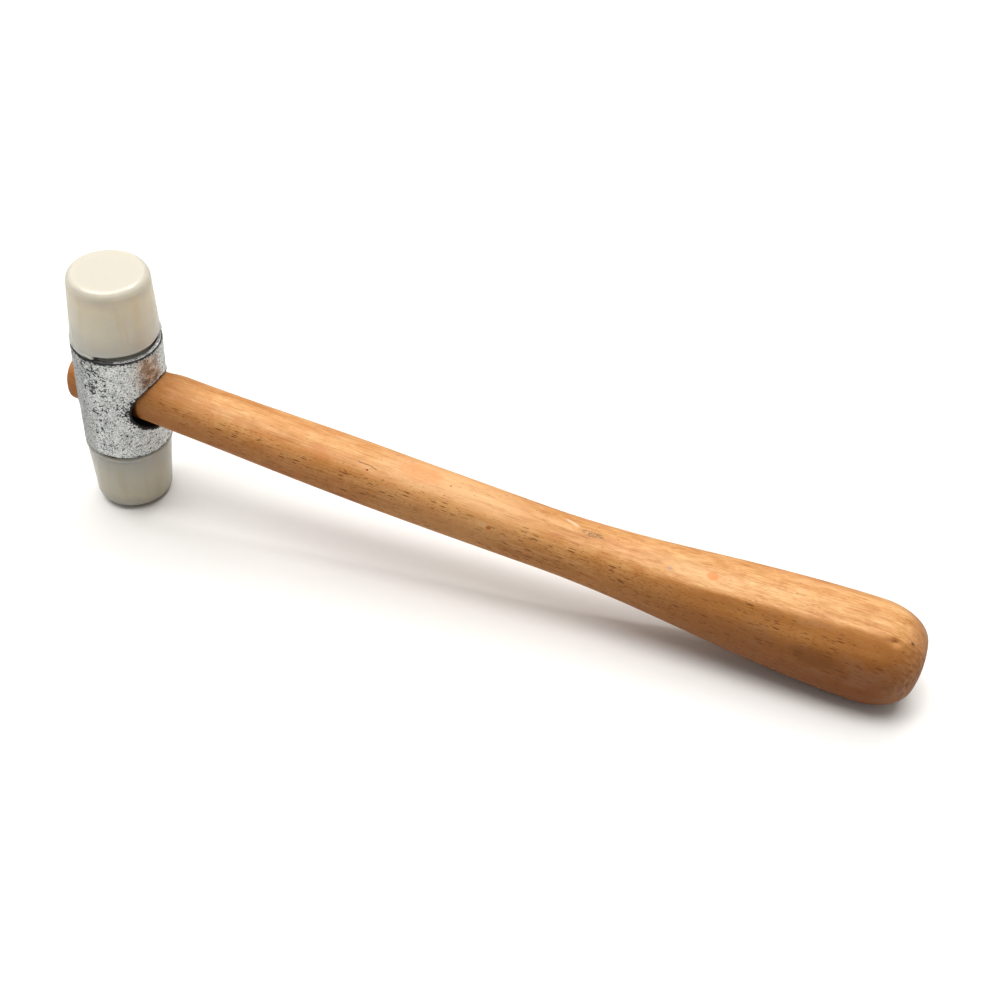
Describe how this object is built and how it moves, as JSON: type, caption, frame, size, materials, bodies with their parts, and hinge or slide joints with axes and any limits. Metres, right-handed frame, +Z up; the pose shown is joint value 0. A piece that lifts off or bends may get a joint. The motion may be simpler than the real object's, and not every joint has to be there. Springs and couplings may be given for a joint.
{
  "type": "nylon-faced mallet",
  "caption": "Small hand mallet: zinc-coated cast head with screw-in cream nylon faces at both ends and a turned beech handle, lying as it rests on a bench.",
  "frame": {"origin": "on the bench surface, under the middle of the mallet's bounding box as it rests on its lower face and its butt", "axes": "+Z up from the bench, +X along the handle from the head to the butt, +Y across the handle"},
  "size_m": [0.267, 0.027, 0.0886],
  "materials": {
    "zinc_cast": "zinc-coated, pitted casting skin",
    "nylon": "semi-gloss, slightly translucent",
    "beech": "oiled satin",
    "wedge_hardwood": "end grain",
    "wedge_steel": "dull mild steel"
  },
  "bodies": {
    "head_and_handle": {"head_body": "zinc_cast", "handle": "beech", "wedge_wood": "wedge_hardwood", "wedge_steel": "wedge_steel"},
    "upper_face": {"face_upper": "nylon"},
    "lower_face": {"face_lower": "nylon"}
  },
  "joints": [
    {"name": "upper_face_unscrew", "type": "slide", "parent": "head_and_handle", "child": "upper_face", "axis": [0.1174, 0, 0.9931], "range_m": [0, 0.012]},
    {"name": "lower_face_unscrew", "type": "slide", "parent": "head_and_handle", "child": "lower_face", "axis": [-0.1174, 0, -0.9931], "range_m": [0, 0.012]}
  ]
}
